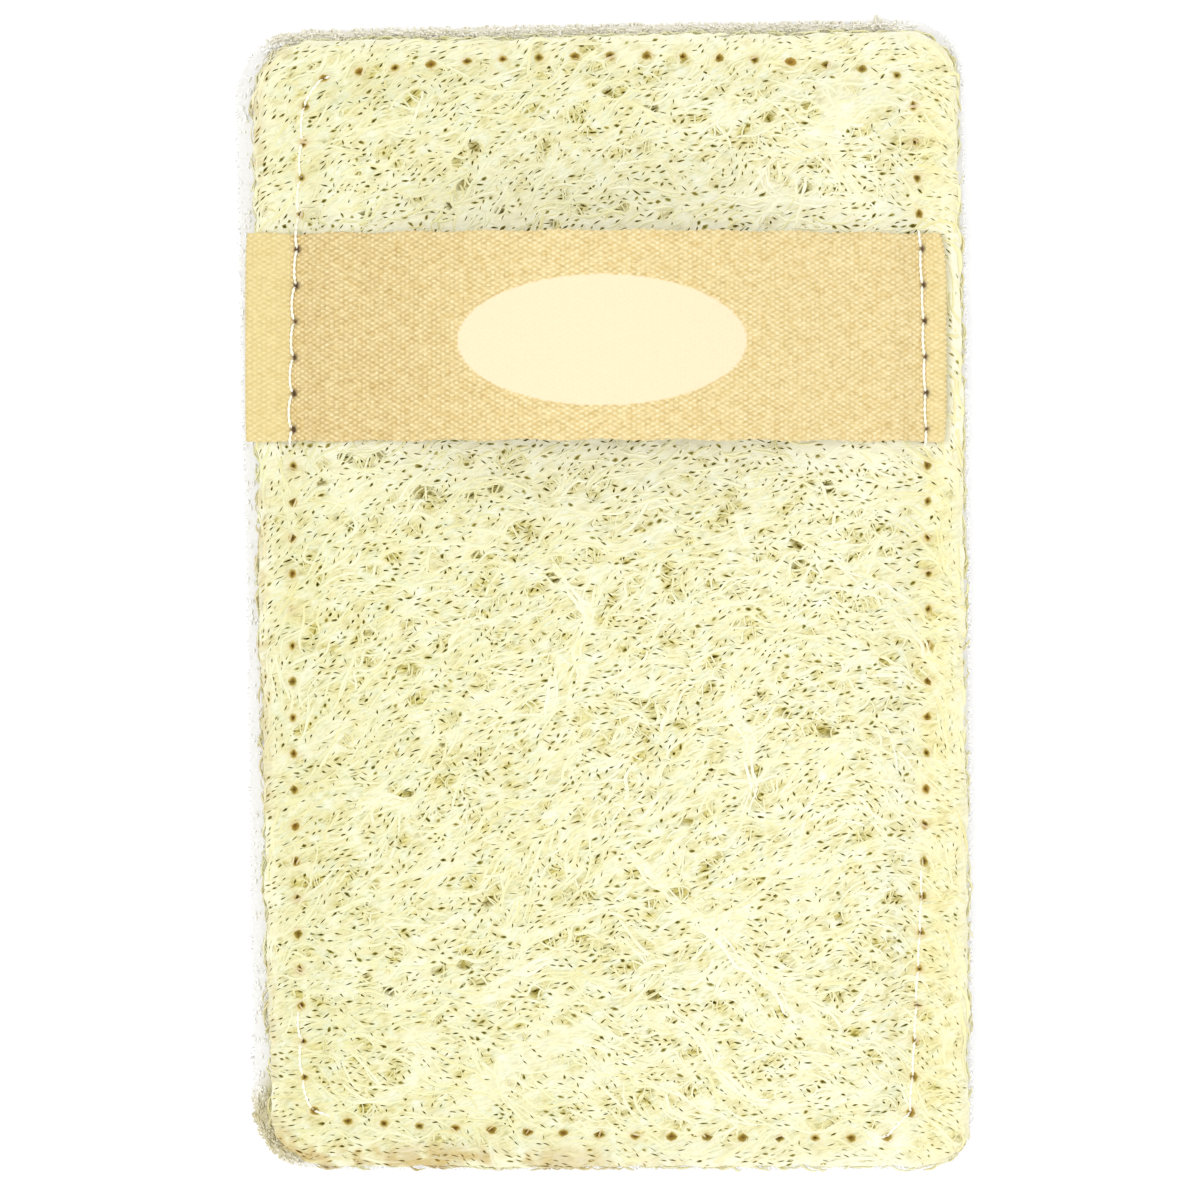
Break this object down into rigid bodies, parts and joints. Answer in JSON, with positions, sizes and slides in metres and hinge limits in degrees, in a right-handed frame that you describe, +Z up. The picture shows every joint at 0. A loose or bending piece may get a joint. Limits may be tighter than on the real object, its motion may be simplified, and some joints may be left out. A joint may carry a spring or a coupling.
{
  "type": "loofah scrub pad",
  "caption": "Flat hand-size scrub pad: a pressed loofah net face stitched all round to a towelling back, with a canvas band across it as a hand strap.",
  "frame": {"origin": "under the middle of the pad's outline, on the surface that it lies on", "axes": "+X to the right with the loofah face up, +Y along the length towards the strap, +Z up through the thickness"},
  "size_m": [0.1028, 0.16, 0.017],
  "materials": {
    "loofah": "matte, matted plant fibre",
    "towelling": "matte cotton loop pile",
    "canvas": "matte plain-weave cotton",
    "thread": "soft satin twisted thread"
  },
  "bodies": {
    "root": {"loofah_face": "loofah", "towel_back": "towelling", "hand_strap": "canvas", "needle_thread": "thread", "bobbin_thread": "thread"}
  },
  "joints": []
}
